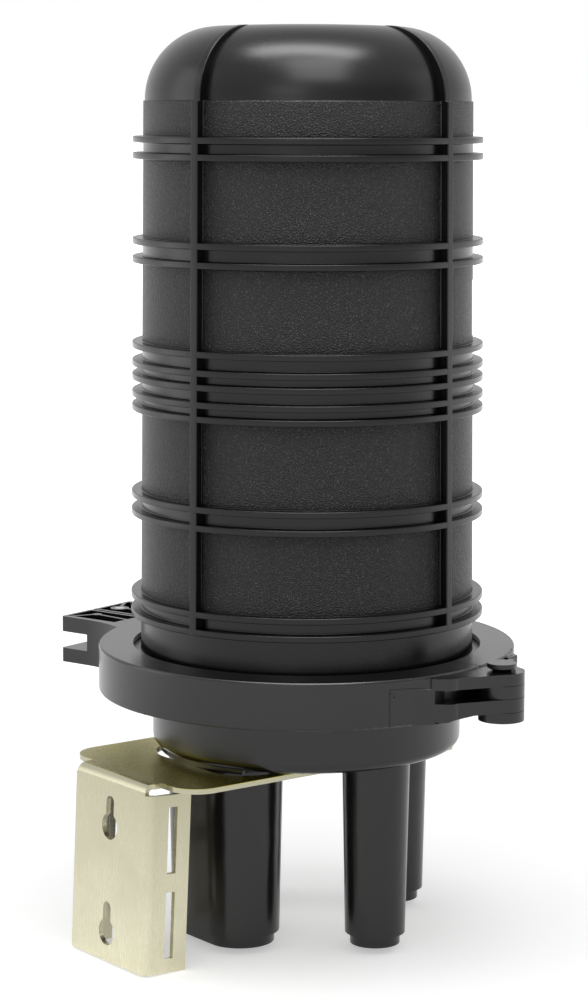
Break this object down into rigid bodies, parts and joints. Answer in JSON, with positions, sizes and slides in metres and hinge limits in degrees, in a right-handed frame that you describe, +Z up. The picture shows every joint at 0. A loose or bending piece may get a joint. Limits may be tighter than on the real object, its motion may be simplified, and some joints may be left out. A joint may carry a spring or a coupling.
{
  "type": "dome splice closure",
  "caption": "Upright ribbed plastic dome on a base with downward cable ports, held by a hinged clamp hoop, with a folded steel wall bracket.",
  "frame": {"origin": "dome's axis in the plane of the port ends", "axes": "+Z up along the dome's axis, -X towards the wall, Y along the wall"},
  "size_m": [0.2237, 0.2746, 0.452],
  "materials": {
    "black_plastic": "finely textured moulding",
    "clamp_plastic": "satin moulding",
    "yellow_zinc": "satin yellow passivated zinc",
    "steel": "bright turned",
    "seal": "soft moulded",
    "tray_plastic": "smooth moulding",
    "comb_plastic": "smooth moulding",
    "clear_plastic": "clear sheet",
    "brass": "turned",
    "frame_sheet": "cold rolled sheet"
  },
  "bodies": {
    "closure": {"base": "black_plastic", "dome": "black_plastic", "seal_ring": "seal", "wall_bracket": "yellow_zinc", "bracket_screws": "steel", "clamp_front_half": "clamp_plastic", "clamp_hinge_pin": "clamp_plastic", "support_frame": "frame_sheet", "frame_screws": "steel", "strength_member_clamps": "brass", "clamp_screws": "steel", "earth_stud": "brass", "earth_nut": "brass", "fibre_basket": "tray_plastic", "tray_hinge_block": "comb_plastic", "hinge_block_screws": "steel", "tray_hinge_pins": "steel"},
    "rear_half": {"clamp_rear_half": "clamp_plastic", "eye_bolt_pin": "steel"},
    "closing_bolt": {"eye_bolt": "steel"},
    "nut": {"clamp_nut": "steel"},
    "tray_1": {"splice_tray_1": "tray_plastic", "splice_comb_1": "comb_plastic", "tray_cover": "clear_plastic"},
    "tray_2": {"splice_tray_2": "tray_plastic", "splice_comb_2": "comb_plastic"},
    "tray_3": {"splice_tray_3": "tray_plastic", "splice_comb_3": "comb_plastic"},
    "tray_4": {"splice_tray_4": "tray_plastic", "splice_comb_4": "comb_plastic"}
  },
  "joints": [
    {"name": "clamp_hinge", "type": "hinge", "parent": "closure", "child": "rear_half", "pos_m": [0.03186, -0.11185, 0.1303], "axis": [0, 0, -1], "range_deg": [0, 100]},
    {"name": "bolt_swing", "type": "hinge", "parent": "rear_half", "child": "closing_bolt", "pos_m": [-0.02503, 0.13168, 0.1303], "axis": [0, 0, 1], "range_deg": [0, 180]},
    {"name": "nut_spin", "type": "hinge", "parent": "closing_bolt", "child": "nut", "pos_m": [0.01555, 0.14324, 0.1303], "axis": [0.9617, 0.274, 0], "continuous": true},
    {"name": "tray_lean_1", "type": "hinge", "parent": "closure", "child": "tray_1", "pos_m": [0.02675, 0, 0.15], "axis": [0, 1, 0], "range_deg": [0, 6]},
    {"name": "tray_lean_2", "type": "hinge", "parent": "closure", "child": "tray_2", "pos_m": [0.01475, 0, 0.16], "axis": [0, 1, 0], "range_deg": [0, 4.5]},
    {"name": "tray_lean_3", "type": "hinge", "parent": "closure", "child": "tray_3", "pos_m": [0.00275, 0, 0.17], "axis": [0, 1, 0], "range_deg": [0, 3]},
    {"name": "tray_lean_4", "type": "hinge", "parent": "closure", "child": "tray_4", "pos_m": [-0.00925, 0, 0.18], "axis": [0, 1, 0], "range_deg": [0, 1.5]}
  ],
  "couplings": [
    {"joint": "tray_lean_2", "follows": "tray_lean_1", "ratio": 0.75},
    {"joint": "tray_lean_3", "follows": "tray_lean_1", "ratio": 0.5},
    {"joint": "tray_lean_4", "follows": "tray_lean_1", "ratio": 0.25}
  ]
}
